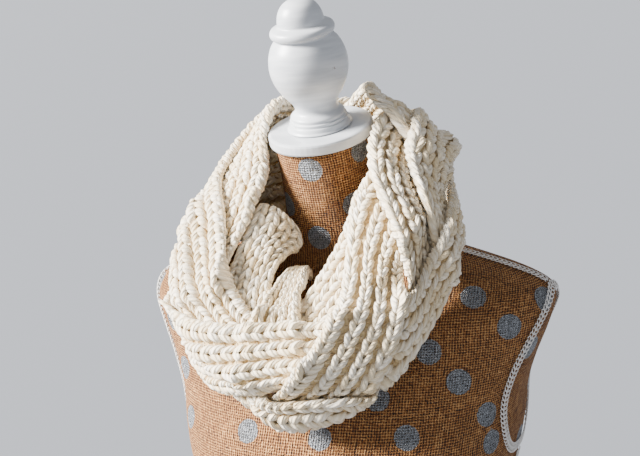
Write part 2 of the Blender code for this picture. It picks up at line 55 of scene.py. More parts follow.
# ---------------------------------------------------------------- dress form, as in the part's source
TORSO = [
    (0.0183, 0.000, 0.168, 0.108, 0.112, 2.3, 0.0),
    (0.0300, 0.000, 0.177, 0.114, 0.118, 2.3, 0.0),
    (0.0700, 0.000, 0.174, 0.112, 0.112, 2.3, 0.0),
    (0.1150, 0.000, 0.160, 0.105, 0.094, 2.2, 0.0),
    (0.1500, 0.000, 0.153, 0.108, 0.084, 2.2, 0.0),
    (0.1900, 0.000, 0.161, 0.140, 0.082, 2.4, 0.0),
    (0.2300, 0.000, 0.173, 0.162, 0.086, 2.5, 0.0),
    (0.2700, 0.000, 0.182, 0.157, 0.093, 2.4, 0.0),
    (0.3050, 0.000, 0.187, 0.137, 0.101, 2.4, 0.0),
    (0.3350, 0.000, 0.197, 0.120, 0.106, 2.4, 0.0),
    (0.3650, 0.000, 0.210, 0.103, 0.106, 2.4, 0.0),
    (0.3900, 0.000, 0.219, 0.092, 0.100, 2.4, 0.0),
    (0.4060, 0.000, 0.220, 0.082, 0.092, 2.2, 0.0),
    (0.4160, 0.000, 0.212, 0.075, 0.084, 2.0, 0.0),
    (0.4250, 0.000, 0.192, 0.069, 0.077, 2.0, 0.0),
    (0.4350, 0.000, 0.161, 0.063, 0.070, 2.0, 0.0),
    (0.4440, -0.001, 0.130, 0.058, 0.064, 2.0, 0.5),
    (0.4530, -0.002, 0.100, 0.055, 0.058, 2.0, 1.0),
    (0.4640, -0.004, 0.074, 0.053, 0.053, 2.0, 2.0),
    (0.4800, -0.008, 0.056, 0.051, 0.050, 2.0, 4.0),
    (0.5050, -0.013, 0.050, 0.049, 0.049, 2.0, 8.0),
    (0.5350, -0.020, 0.048, 0.048, 0.048, 2.0, 11.0),
]
NECK_TILT = math.radians(12.0)
PLATE_TOP = (0.0, -0.030, 0.580)
PLATE_RADIUS = 53 * MM
PLATE_THICK = 12 * MM
NECK_TOP_RADIUS = 48 * MM
SHOULDER_SEAM = (0.4400, 0.4185)
ARMHOLE_MIDDLE = 0.327
ARMHOLE_RISE = 0.084
ARMHOLE_TURN = 20.0
SIDE_SEAM = (0.2330, 0.0340)

# ---------------------------------------------------------------- ring that the bands lie on
# angle, inner radius, inner height, outer radius, outer height, bulge; heights from the plate's top
RING = [
    (-180, 0.094, 0.028, 0.126, -0.104, 0.014),
    (-135, 0.078, 0.015, 0.129, -0.106, 0.020),
    (-90, 0.062, -0.040, 0.119, -0.141, 0.027),
    (-45, 0.062, -0.112, 0.112, -0.220, 0.036),
    (0, 0.062, -0.142, 0.109, -0.248, 0.022),
    (45, 0.068, -0.112, 0.112, -0.218, 0.029),
    (90, 0.058, -0.034, 0.126, -0.130, 0.018),
    (135, 0.067, 0.022, 0.124, -0.094, 0.014),
]
RING_CENTRE = (0.0, -0.060, 0.57974)
ROLL_RADIUS = 26 * MM
HEM_ROLL_FROM = 0.93
HEM_ROLL_RADIUS = 14 * MM
CHART_RADIUS = 0.125
CHART_DROP = 0.140

# ---------------------------------------------------------------- bands, as in the part's source
WALL = 5.0 * MM
RIB_RISE = 4.0 * MM
RIBS = 4
BAND_GAP = 2.6 * MM
PITCH = WALL + RIB_RISE + BAND_GAP
SECTION_STEP = 10 * MM

# Each strand: half width, then its (angle, drop) rows
STRANDS = {
    "ring": (0.0295, [
        (-155, 0.745), (-147, 0.795), (-137, 0.81), (-120, 0.79), (-90, 0.81), (-75, 0.84), (-60, 0.81),
        (-42, 0.72), (-30, 0.65), (-18, 0.58), (-5, 0.53), (10, 0.51), (22, 0.53), (32, 0.575),
        (42, 0.655), (52, 0.745), (62, 0.81), (73, 0.83), (85, 0.83), (95, 0.86), (105, 0.88),
        (115, 0.85), (122, 0.77), (125, 0.67), (125.3, 0.57), (124.5, 0.47), (124.4, 0.385),
        (126.2, 0.305), (130, 0.24), (135.5, 0.20), (143, 0.182), (152, 0.185), (162, 0.225),
        (172, 0.32), (181, 0.45), (189, 0.58), (197, 0.68), (205, 0.745)]),
    "throat": (0.028, [
        (-145, 0.29), (-130, 0.38), (-115, 0.45), (-101, 0.45), (-86, 0.40), (-71, 0.34), (-54, 0.34),
        (-36, 0.40), (-20, 0.46), (0, 0.44), (14, 0.34), (25, 0.22), (35, 0.16), (45, 0.13), (58, 0.13),
        (70, 0.16), (79, 0.20), (87, 0.26)]),
    "shoulder": (0.026, [
        (92, 0.88), (92.5, 0.74), (93.5, 0.62), (97, 0.515), (105, 0.43), (114, 0.39), (124, 0.41),
        (138, 0.49), (152, 0.53), (166, 0.50), (182, 0.41), (200, 0.31), (215, 0.29)]),
    "back": (0.031, [
        (122, 0.78), (135, 0.79), (150, 0.78), (165, 0.75), (180, 0.67), (195, 0.51), (208, 0.35),
        (220, 0.22), (235, 0.14), (255, 0.10), (270, 0.10), (282, 0.14), (293, 0.22), (302, 0.32),
        (310, 0.43)]),
    "fold": (0.025, [
        (-68, -0.20), (-60, -0.17), (-52, -0.11), (-44, -0.03), (-36, 0.06), (-29, 0.17), (-25, 0.24),
        (-21, 0.32)]),
    "cross": (0.033, [
        (2, 1.05), (8, 0.98), (14.5, 0.90), (23, 0.80), (32, 0.67), (40, 0.54), (47.5, 0.41),
        (56, 0.27), (66, 0.225), (78, 0.23)]),
    "tuck": (0.032, [
        (-5, -0.22), (-3, -0.10), (-1, 0.05), (0, 0.25), (1, 0.45), (2, 0.62)]),
    "outer": (0.028, [
        (-150, 0.70), (-135, 0.66), (-120, 0.62), (-105, 0.60), (-90, 0.58), (-80, 0.58), (-65, 0.58),
        (-50, 0.63), (-41, 0.65), (-30, 0.71), (-20, 0.84), (-10, 0.96), (0, 1.00), (12, 1.00),
        (22, 1.02), (31, 1.08), (40, 1.14), (49, 1.12), (58, 1.03), (65.5, 0.90), (71, 0.75),
        (75, 0.60), (79, 0.45), (84.5, 0.31), (92, 0.22), (103, 0.20), (119, 0.26), (135, 0.42),
        (150, 0.58), (165, 0.68), (180, 0.74), (195, 0.73), (210, 0.70)]),
}
ENDLESS = ("ring", "outer")  # strands that close on themselves
# from angle, to angle, from drop, to drop, and there the strands from the lowest to the uppermost
ORDER = [
    (-150, -60, -1.0, 2.0, ("outer", "fold", "back", "throat", "shoulder", "ring")),
    (-60, -25, -1.0, 2.0, ("outer", "fold", "back", "throat", "tuck", "ring")),
    (-25, -1, -1.0, 2.0, ("cross", "outer", "fold", "back", "throat", "tuck", "ring")),
    (-1, 42, -1.0, 2.0, ("fold", "back", "throat", "tuck", "ring", "cross", "outer")),
    (42, 62, -1.0, 2.0, ("outer", "throat", "tuck", "ring", "cross")),
    (62, 93, -1.0, 2.0, ("throat", "cross", "outer", "back", "shoulder", "ring")),
    (93, 112, 0.62, 2.0, ("throat", "outer", "back", "shoulder", "ring")),
    (93, 112, -1.0, 0.62, ("throat", "outer", "back", "ring", "shoulder")),
    (112, 210, -1.0, 2.0, ("outer", "back", "throat", "ring", "shoulder")),
]
# node, strand, from and to as shares of the strand's length
STRETCHES = [
    ("scarf_front_band", "ring", 0.00, 0.47),
    ("scarf_right_band", "ring", 0.47, 0.73),
    ("scarf_nape_band", "ring", 0.73, 1.00),
    ("scarf_left_band", "throat", 0.00, 0.60),
    ("scarf_throat_band", "throat", 0.60, 1.00),
    ("scarf_shoulder_band", "shoulder", 0.00, 1.00),
    ("scarf_back_band", "back", 0.00, 0.52),
    ("scarf_inner_band", "back", 0.52, 1.00),
    ("scarf_inner_fold", "fold", 0.00, 1.00),
    ("scarf_cross_band", "cross", 0.00, 1.00),
    ("scarf_tuck", "tuck", 0.00, 1.00),
    ("scarf_outer_band", "outer", 0.00, 0.33),
    ("scarf_hem_band", "outer", 0.33, 0.56),
    ("scarf_collar_band", "outer", 0.56, 0.76),
    ("scarf_spine_band", "outer", 0.76, 1.00),
]
# strands that lie up against the one above them
NESTLED = {"fold": 2.0 * MM, "tuck": 1.4 * MM}
GRID_ANGLES = 180
TORSO_LEVELS = 400
GRID_DROPS = np.linspace(-0.5, 1.4, 96)
PATH_SAMPLES = 600
COVER_STEP = 4 * MM
SETTLE_ROUNDS = 70
SETTLE_PULL = 0.02
COVER_MARGIN = 4 * MM
REST_GAP = 0.2 * MM
REST_REACH = 10 * MM
REST_STEP = 0.25 * MM


def through(rows, x, period=None):
    """Catmull-Rom values at x through rows of (x, y, ...), wrapped round when a period is given."""
    rows = np.array(rows, float)
    if period:
        rows = np.vstack([rows[-2:], rows, rows[:3]])
        rows[:2, 0] -= period
        rows[-3:, 0] += period
        x = (np.asarray(x, float) - rows[2, 0]) % period + rows[2, 0]
    else:
        first = 2 * rows[0] - rows[1]
        last = 2 * rows[-1] - rows[-2]
        rows = np.vstack([first, rows, last])
        x = np.asarray(x, float)
    knots, values = rows[:, 0], rows[:, 1:]
    i = np.clip(np.searchsorted(knots, x, side="right") - 1, 1, len(knots) - 3)
    span = knots[i + 1] - knots[i]
    t = ((x - knots[i]) / span)[..., None]
    before = (values[i + 1] - values[i - 1]) * (span / (knots[i + 1] - knots[i - 1]))[..., None]
    after = (values[i + 2] - values[i]) * (span / (knots[i + 2] - knots[i]))[..., None]
    return ((2 * t**3 - 3 * t**2 + 1) * values[i] + (t**3 - 2 * t**2 + t) * before
            + (3 * t**2 - 2 * t**3) * values[i + 1] + (t**3 - t**2) * after)


def ring_point(angle, drop):
    """The ring's own surface: it bulges from top edge to hem, and rolls inwards beyond both."""
    angle, drop = np.broadcast_arrays(np.asarray(angle, float), np.asarray(drop, float))
    r_in, z_in, r_out, z_out, bulge = np.moveaxis(through(RING, angle, 360.0), -1, 0)
    down = np.clip(drop, 0.0, HEM_ROLL_FROM)
    radius = r_in + (r_out - r_in) * down + 4 * bulge * down * (1 - down)
    height = z_in + (z_out - z_in) * down
    slope = r_out - r_in + 4 * bulge * (1 - 2 * down)
    heading = np.arctan2(z_out - z_in, slope)
    top_turn = CHART_DROP * np.maximum(-drop, 0.0) / ROLL_RADIUS
    hem_turn = CHART_DROP * np.maximum(drop - HEM_ROLL_FROM, 0.0) / HEM_ROLL_RADIUS
    radius = radius + ROLL_RADIUS * (np.sin(heading) - np.sin(heading + top_turn))
    height = height + ROLL_RADIUS * (np.cos(heading + top_turn) - np.cos(heading))
    radius = radius + HEM_ROLL_RADIUS * (np.sin(heading) - np.sin(heading - hem_turn))
    height = height + HEM_ROLL_RADIUS * (np.cos(heading - hem_turn) - np.cos(heading))
    turn = np.radians(angle)
    return np.stack([RING_CENTRE[0] + radius * np.sin(turn), RING_CENTRE[1] - radius * np.cos(turn),
                     RING_CENTRE[2] + height], -1)


def ring_normal(angle, drop):
    along = ring_point(angle + 1.0, drop) - ring_point(angle - 1.0, drop)
    down = ring_point(angle, drop + 0.02) - ring_point(angle, drop - 0.02)
    normal = np.cross(down, along)
    return normal / np.linalg.norm(normal, axis=-1, keepdims=True)


# ---------------------------------------------------------------- the form under the bands
def torso_rows():
    top = (PLATE_TOP[2] - (PLATE_THICK + SEAM_GAP) * math.cos(NECK_TILT),
           PLATE_TOP[1] + (PLATE_THICK + SEAM_GAP) * math.sin(NECK_TILT),
           NECK_TOP_RADIUS, NECK_TOP_RADIUS, NECK_TOP_RADIUS, 2.0, math.degrees(NECK_TILT))
    rows = TORSO + [top]
    return [(index,) + row for index, row in enumerate(rows)]


def torso_point(turn, level, out=0.0):
    """A point of the torso: turn in degrees from the front, level in rows of the torso's table."""
    height, centre, half, front, back, square, tilt = np.moveaxis(through(torso_rows(), level), -1, 0)
    sine, cosine = np.sin(np.radians(turn)), np.cos(np.radians(turn))
    x = (half + out) * np.sign(sine) * np.abs(sine) ** (2 / square)
    depth = np.where(cosine > 0, front, back) + out
    y = -depth * np.sign(cosine) * np.abs(cosine) ** (2 / square)
    lean = np.radians(tilt)
    return np.stack(np.broadcast_arrays(x, centre + y * np.cos(lean), height + y * np.sin(lean)), -1)


def within_form(point, out):
    """Whether points lie inside the torso or the neck plate, both grown by `out`."""
    x, y, z = np.moveaxis(point, -1, 0)
    levels = np.linspace(0, len(TORSO), 200)
    rows = through(torso_rows(), levels)
    height, back_lift = z, 0.0
    for _ in range(3):
        height = z - back_lift
        centre, half, front, back, square, tilt = (
            np.interp(height, rows[:, 0], rows[:, k]) for k in range(1, 7))
        back_lift = (y - centre) * np.tan(np.radians(tilt))
    depth = np.where(y < centre, front, back) + out
    across = np.abs(x / (half + out)) ** square + np.abs((y - centre) / depth) ** square
    rise = (z - PLATE_TOP[2]) * math.cos(NECK_TILT) - (y - PLATE_TOP[1]) * math.sin(NECK_TILT)
    ahead = (y - PLATE_TOP[1]) * math.cos(NECK_TILT) + (z - PLATE_TOP[2]) * math.sin(NECK_TILT)
    plate = (np.hypot(x, ahead) < PLATE_RADIUS + out) & (rise < out) & (rise > -PLATE_THICK - out)
    return ((across < 1) & (rise < 0)) | plate


def form_floor():
    """How far off the ring a band must stand to lie on the form instead of in it."""
    angle = np.arange(GRID_ANGLES)[:, None] * 360 / GRID_ANGLES
    drop = GRID_DROPS[None, :]
    base, normal = ring_point(angle, drop), ring_normal(angle, drop)
    floor = np.zeros(base.shape[:2])
    for lift in np.arange(0, REST_REACH, REST_STEP):
        inside = within_form(base + normal * lift, REST_GAP)
        floor = np.where(inside, lift + REST_STEP, floor)
    return floor


# ---------------------------------------------------------------- how the bands lie over each other
def to_chart(rows):
    return np.array([(CHART_RADIUS * math.radians(angle), CHART_DROP * drop) for angle, drop in rows])


def strand_path(name, step):
    """Evenly spaced places along a strand's middle on the flat chart, with the sideways direction at each."""
    rows = STRANDS[name][1]
    endless = name in ENDLESS
    if endless:
        before, after = rows[-2], rows[1]
        rows = [(before[0] - 360, before[1]), *rows, (after[0] + 360, after[1])]
    chart = to_chart(rows)
    chord = np.concatenate([[0], np.cumsum(np.hypot(*np.diff(chart, axis=0).T))])
    knots = np.column_stack([chord, chart])
    first, last = (chord[1], chord[-2]) if endless else (chord[0], chord[-1])
    place = np.linspace(first, last, PATH_SAMPLES)
    fine = through(knots, place)
    heading = through(knots, place + 0.5 * MM) - through(knots, place - 0.5 * MM)
    heading /= np.linalg.norm(heading, axis=1, keepdims=True)
    run = np.concatenate([[0], np.cumsum(np.hypot(*np.diff(fine, axis=0).T))])
    count = max(4, round(run[-1] / step)) + 1
    even = np.linspace(0, run[-1], count)
    middle = np.column_stack([np.interp(even, run, fine[:, k]) for k in (0, 1)])
    side = np.column_stack([np.interp(even, run, side_part) for side_part in (-heading[:, 1], heading[:, 0])])
    return middle, side


def covered(name, margin):
    """Which points of the ring's grid a strand lies over."""
    half = STRANDS[name][0]
    middle, side = strand_path(name, COVER_STEP)
    around = 2 * math.pi * CHART_RADIUS
    grid_x = CHART_RADIUS * np.radians(np.arange(GRID_ANGLES) * 360 / GRID_ANGLES)
    grid_y = CHART_DROP * GRID_DROPS
    across_x = (grid_x[:, None, None] - middle[:, 0] + around / 2) % around - around / 2
    across_y = grid_y[None, :, None] - middle[:, 1]
    distance = np.hypot(across_x, across_y)
    nearest = distance.argmin(axis=-1)
    best = np.take_along_axis(distance, nearest[..., None], -1)[..., 0]
    ahead = (np.take_along_axis(across_x, nearest[..., None], -1)[..., 0] * side[nearest, 1]
             - np.take_along_axis(across_y, nearest[..., None], -1)[..., 0] * side[nearest, 0])
    return (best < half + margin) & (np.abs(ahead) < COVER_STEP + margin)


def blurred(field):
    along = (np.roll(field, 1, 0) + np.roll(field, -1, 0) + 2 * field) / 4
    padded = np.pad(along, ((0, 0), (1, 1)), mode="edge")
    return (padded[:, :-2] + padded[:, 2:] + 2 * along) / 4


def settled_heights():
    """How far each strand stands off the ring: it sinks towards it, but never through those it crosses."""
    angles = np.arange(GRID_ANGLES) * 360 / GRID_ANGLES
    cover = {name: covered(name, COVER_MARGIN) for name in STRANDS}
    crossings = []
    for start, stop, least, most, order in ORDER:
        sector = ((angles - start) % 360 < stop - start)[:, None]
        within = sector & (GRID_DROPS >= least) & (GRID_DROPS < most)
        for place, upper in enumerate(order):
            crossings += [(upper, lower, cover[upper] & cover[lower] & within) for lower in order[:place]]
    floor = form_floor()
    heights = {name: floor.copy() for name in STRANDS}
    for _ in range(SETTLE_ROUNDS):
        for name in STRANDS:
            heights[name] = np.maximum(blurred(heights[name]) * (1 - SETTLE_PULL), floor)
        for upper, lower, where in crossings:
            lifted = np.maximum(heights[upper], heights[lower] + PITCH)
            heights[upper] = np.where(where, lifted, heights[upper])
    return heights


def height_at(field, angle, drop):
    """The settled height between the grid's points."""
    x = (np.asarray(angle) % 360) * GRID_ANGLES / 360
    y = (np.asarray(drop) - GRID_DROPS[0]) / (GRID_DROPS[1] - GRID_DROPS[0])
    y = np.clip(y, 0, len(GRID_DROPS) - 1.001)
    i, j = np.floor(x).astype(int), np.floor(y).astype(int)
    fx, fy = x - i, y - j
    i, after = i % GRID_ANGLES, (i + 1) % GRID_ANGLES
    return ((1 - fx) * (1 - fy) * field[i, j] + fx * (1 - fy) * field[after, j]
            + (1 - fx) * fy * field[i, j + 1] + fx * fy * field[after, j + 1])


def torso_level(height):
    levels = np.linspace(0, len(TORSO), TORSO_LEVELS)
    return np.interp(height, through(torso_rows(), levels)[:, 0], levels)


# ---------------------------------------------------------------- yarn and cloth of the scarf
STITCH_PITCH = 12.0 * MM
YARN_RADIUS = 2.85 * MM
CLOTH_INNER = 1.8 * MM
CLOTH_OUTER = 4.2 * MM
CLOTH_ACROSS = 17
CLOTH_STEP = 5.5 * MM
CLOTH_SHARE = 0.97  # of a strand's half width, so that the edge yarn covers the cloth's sides
RIB_FULLNESS = 0.5 * MM
EDGE_THICKNESS = 0.45  # of the cloth's, at its rounded edges
FLAT_SAMPLES = 9
STITCH_SEED = 7
# tone taken off the slanting yarn in the grooves between the ribs: painted shade
GROOVE_SHADE = 1.2
STITCH_STAGGER = 0.2  # of a pitch, between one rib and the next
STITCH_WANDER = 0.35 * MM
PITCH_WANDER = 1.6 * STITCH_WANDER
LIFT_WANDER = 0.8 * STITCH_WANDER
SWELL_WANDER = 0.05
# yarn lines in mm: along the rib, across it, height over its face, and thickness as a share of the yarn's
STITCH_LEG = [
    (-8.8, 0.3, -3.0, 0.50), (-5.6, 1.0, -0.5, 0.88), (-1.9, 2.2, 0.7, 1.03), (1.9, 3.4, 0.8, 1.03),
    (5.2, 4.3, -0.4, 0.92), (8.2, 4.5, -3.0, 0.50),
]
GROOVE_LEG = [(-5.0, -3.4, -1.8, 0.7), (-2.0, -1.3, 0.2, 0.92), (2.0, 1.3, 0.2, 0.92), (5.0, 3.4, -1.8, 0.7)]
EDGE_LEG = [
    (-7.0, -2.6, 3.0, 0.6), (-4.2, -0.4, 3.0, 0.95), (-1.2, 1.0, 1.2, 1.02), (1.8, 1.0, -1.2, 1.02),
    (4.6, -0.8, -2.6, 0.9), (6.8, -2.8, -2.4, 0.6),
]
# ends of the strands that don't close on themselves: narrowed, and sunk under their neighbours
ENDS_REACH = 14 * MM
ENDS_SINK = 2.6 * MM
ENDS_NARROW = 0.22
# line, sides, steps along, which way it faces, height of its face (mm), pitch as a share of a stitch's,
# places across
YARN_ROWS = [
    ("stitch", 8, 2, 1.0, 6.5, 1.0, (-0.75, -0.25, 0.25, 0.75)),
    ("groove", 6, 1, 1.0, 2.7, 0.62, (-0.5, 0.0, 0.5)),
    ("stitch", 6, 1, -1.0, 1.5, 1.0, (-0.75, -0.25, 0.25, 0.75)),
    ("edge", 6, 1, 1.0, 3.6, 0.62, (-0.93, 0.93)),
]


class Strand:
    """Lays points given along, across and above a strand onto the ring, over the strands below it."""

    def __init__(self, name, field):
        self.half = STRANDS[name][0]
        self.middle, self.side = strand_path(name, SECTION_STEP / 4)
        self.step = np.hypot(*np.diff(self.middle, axis=0).T).mean()
        self.length = self.step * (len(self.middle) - 1)
        self.field = field
        self.nestled = NESTLED.get(name, 0.0)
        self.endless = name in ENDLESS
        self.places = np.arange(len(self.middle)) * self.step
        line = self.lay(self.places, 0 * self.places, CLOTH_OUTER)
        self.run = np.concatenate([[0], np.cumsum(np.linalg.norm(np.diff(line, axis=0), axis=1))])

    def run_at(self, along):
        """Length of cloth from the strand's start, measured on the ring."""
        return np.interp(along, self.places, self.run)

    def along_at(self, run):
        return np.interp(run, self.run, self.places)

    def flat_size(self, begin, end):
        """Width and length of the cloth between two places, measured over the ring."""
        along, across = np.meshgrid(np.linspace(begin, end, FLAT_SAMPLES),
                                    np.linspace(-self.half, self.half, FLAT_SAMPLES), indexing="ij")
        rows = self.lay(along, across, CLOTH_OUTER)
        width = np.linalg.norm(np.diff(rows, axis=1), axis=2).sum(axis=1).mean()
        return float(width), float(self.run_at(end) - self.run_at(begin))

    def lay(self, along, across, above):
        if not self.endless:
            inward = np.clip(np.minimum(along, self.length - along) / ENDS_REACH, 0, 1)
            across = across * (1 - ENDS_NARROW * (1 - inward) ** 2)
            above = above - ENDS_SINK * (1 - inward) ** 2
        place = np.clip(along / self.step, -0.999, len(self.middle) - 0.001)
        index = np.arange(len(self.middle))
        centre = [np.interp(place, index, self.middle[:, k]) for k in (0, 1)]
        lateral = [np.interp(place, index, self.side[:, k]) for k in (0, 1)]
        angle = np.degrees((centre[0] + lateral[0] * across) / CHART_RADIUS)
        drop = (centre[1] + lateral[1] * across) / CHART_DROP
        stand = height_at(self.field, angle, drop) + self.nestled + above
        return ring_point(angle, drop) + ring_normal(angle, drop) * stand[..., None]


def new_piece(name, points, faces, material):
    mesh = bpy.data.meshes.new(name)
    mesh.from_pydata(np.asarray(points).tolist(), [], faces)
    mesh.polygons.foreach_set("use_smooth", [True] * len(mesh.polygons))
    mesh.materials.append(material)
    piece = bpy.data.objects.new(name, mesh)
    bpy.context.scene.collection.objects.link(piece)
    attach(piece, "root")
    return piece


def store(piece, name, values):
    """Keeps a vector for each point, which the materials read."""
    attribute = piece.data.attributes.new(name, "FLOAT_VECTOR", "POINT")
    attribute.data.foreach_set("vector", np.asarray(values, np.float32).ravel())


def skin_faces(rows, sides, endless=False):
    """Four-cornered faces between the rings of a tube, open at its ends unless it is endless."""
    row = np.arange(rows if endless else rows - 1)[:, None]
    k = np.arange(sides)[None, :]
    after, beside = (row + 1) % rows, (k + 1) % sides
    quads = np.stack([row * sides + k, after * sides + k, after * sides + beside, row * sides + beside], -1)
    return quads.reshape(-1, 4)


def yarn_leg(line, sides, steps):
    """A short length of yarn, drawn as a bevelled curve and turned into a mesh, in millimetres."""
    curve = bpy.data.curves.new("yarn_leg", "CURVE")
    curve.dimensions = "3D"
    curve.bevel_depth = YARN_RADIUS / MM
    curve.bevel_resolution = (sides - 4) // 2
    curve.resolution_u = steps
    curve.use_fill_caps = True
    spline = curve.splines.new("NURBS")
    spline.points.add(len(line) - 1)
    for point, (along, across, above, thickness) in zip(spline.points, line):
        point.co = (along, across, above, 1.0)
        point.radius = thickness
    spline.order_u = 3
    spline.use_endpoint_u = True
    leg = bpy.data.objects.new("yarn_leg", curve)
    bpy.context.scene.collection.objects.link(leg)
    bpy.context.view_layer.update()
    mesh = bpy.data.meshes.new_from_object(leg.evaluated_get(bpy.context.evaluated_depsgraph_get()))
    points = np.array([vertex.co for vertex in mesh.vertices])
    faces = [tuple(face.vertices) for face in mesh.polygons]
    bpy.data.objects.remove(leg)
    bpy.data.meshes.remove(mesh)
    line = np.array(line)
    beside = points[:, 1] - np.interp(points[:, 0], line[:, 0], line[:, 1])
    above = points[:, 2] - np.interp(points[:, 0], line[:, 0], line[:, 2])
    return points, faces, np.column_stack([points[:, 0], np.arctan2(above, beside) / (2 * math.pi)])


def yarn_rows():
    """Each kind of row with its leg ready to lay."""
    lines = {"stitch": STITCH_LEG, "groove": GROOVE_LEG, "edge": EDGE_LEG}
    hands = {"stitch": (-1.0, 1.0), "groove": (1.0,), "edge": (0.0,)}
    return [(yarn_leg(lines[kind], sides, steps), hands[kind], facing, face * MM, pitch * STITCH_PITCH,
             places) for kind, sides, steps, facing, face, pitch, places in YARN_ROWS]


def build_stitches(name, strand, start, stop, rows, chance, material):
    """V stitches up each rib, slanting yarn in the grooves, V stitches inside and yarn round both edges."""
    vertices, faces, marks, base = [], [], [], 0
    for (points, leg_faces, yarn), hands, facing, face, pitch, places in rows:
        first, last = strand.run_at(start) / pitch, strand.run_at(stop) / pitch
        steps = np.arange(math.ceil(first), math.floor(last) + 1)
        count = len(steps)
        for rib, centre in enumerate(places):
            for hand in hands:
                hand = hand or math.copysign(1.0, centre)
                middle = (steps + STITCH_STAGGER * (rib % 2)) * pitch + chance.normal(0, PITCH_WANDER, count)
                swell = 1 + chance.normal(0, SWELL_WANDER, count)
                shift = chance.normal(0, STITCH_WANDER, count)
                lift = chance.normal(0, LIFT_WANDER, count)
                along = strand.along_at(middle[:, None] + points[None, :, 0] * MM * swell[:, None])
                across = centre * strand.half + hand * points[None, :, 1] * MM + shift[:, None]
                above = face + facing * (points[None, :, 2] * MM * swell[:, None] + lift[:, None])
                vertices.append(strand.lay(along, across, above).reshape(-1, 3))
                mark = np.empty((count, len(points), 3))
                mark[..., :2] = yarn
                # the groove yarn's tone is lowered by GROOVE_SHADE: painted shade between the ribs
                mark[..., 2] = chance.random(count)[:, None] - (GROOVE_SHADE if hands == (1.0,) else 0.0)
                marks.append(mark.reshape(-1, 3))
                turned = [corners if facing * hand > 0 else corners[::-1] for corners in leg_faces]
                faces += [[base + leg * len(points) + k for k in corners]
                          for leg in range(count) for corners in turned]
                base += count * len(points)
    piece = new_piece(name, np.concatenate(vertices), faces, material)
    store(piece, "yarn", np.concatenate(marks))
    return piece


def cloth_section():
    """The cloth behind the stitches: a thin wall, a little fuller under each rib and rounded at its edges."""
    across = np.linspace(-1, 1, CLOTH_ACROSS)
    edge = 1 - np.abs(across) ** 8
    ribs = np.abs(np.sin(math.pi * RIBS * (across + 1) / 2))
    outer = CLOTH_INNER + (CLOTH_OUTER - CLOTH_INNER + RIB_FULLNESS * ribs) * (
        EDGE_THICKNESS + (1 - EDGE_THICKNESS) * edge)
    inner = CLOTH_INNER - RIB_FULLNESS * ribs * edge
    return np.concatenate([across, across[::-1]]), np.concatenate([outer, inner[::-1]])


def build_cloth(name, strand, start, stop, material):
    across, above = cloth_section()
    count = max(4, round((stop - start) / CLOTH_STEP))
    along = np.linspace(start, stop, count + 1)
    rings = strand.lay(along[:, None] + 0 * across, across[None, :] * strand.half * CLOTH_SHARE,
                       above[None, :] + 0 * along[:, None])
    sides = len(across)
    faces = skin_faces(count + 1, sides)[:, ::-1].tolist()
    last = count * sides
    half = sides // 2
    for k in range(half - 1):
        first_end = [k, k + 1, sides - 2 - k, sides - 1 - k]
        faces.append(first_end)
        faces.append([last + corner for corner in first_end[::-1]])
    return new_piece(name, rings.reshape(-1, 3), faces, material)


def build_scarf():
    yarn, backing = wool_yarn(), wool_backing()
    heights = settled_heights()
    strands = {name: Strand(name, heights[name]) for name in STRANDS}
    rows = yarn_rows()
    chance = np.random.default_rng(STITCH_SEED)
    for solid, strand_name, start, stop in STRETCHES:
        strand = strands[strand_name]
        begin, end = start * strand.length, stop * strand.length
        cloth = build_cloth(solid.replace("scarf_", "cloth_"), strand, begin, end, backing)
        stitches = build_stitches(solid.replace("scarf_", "stitches_"), strand, begin, end, rows, chance,
                                  yarn)
        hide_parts(solid)
        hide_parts(solid)
        strand.flat_size(begin, end)


# ---------------------------------------------------------------- burlap cover and its dots
COVER_TURNS = 168
COVER_LEVELS = 150
DOT_RADIUS = 12.5 * MM
DOT_SPACING = 62 * MM
DOT_CLEAR = 46 * MM
DOT_ROW_HEIGHTS = range(40, 570, 52)  # mm
DOT_RAGGED = 1.6  # mm between the innermost and the outermost part of a dot's edge
# dots with known places: turn in degrees from the front, height (mm)
DOTS_PLACED = [
    (4, 553), (48, 508), (-44, 508), (0, 474), (46, 414), (30, 369), (44, 340), (18, 329), (30, 295),
    (4, 294), (-15, 293), (-50, 285), (62, 302), (67, 272), (-54, 378), (-52, 331), (58, 386), (78, 356),
]


def dot_centres():
    """The dots with known places, then rows of dots half a step apart over the rest of the cloth."""
    turns, heights = np.array(DOTS_PLACED, float).T
    centres = [np.array(point) for point in torso_point(turns, torso_level(heights * MM))]
    for row, height in enumerate(DOT_ROW_HEIGHTS):
        level = torso_level(height * MM)
        loop = torso_point(np.arange(0, 360, 2.0), np.full(180, level))
        girth = np.linalg.norm(np.diff(loop, axis=0), axis=1).sum()
        count = max(4, round(girth / DOT_SPACING))
        for k in range(count):
            point = torso_point(np.array((k + 0.5 * (row % 2)) * 360 / count), np.array(level))
            if min(np.linalg.norm(point - other) for other in centres) > DOT_CLEAR:
                centres.append(point)
    return np.array(centres)


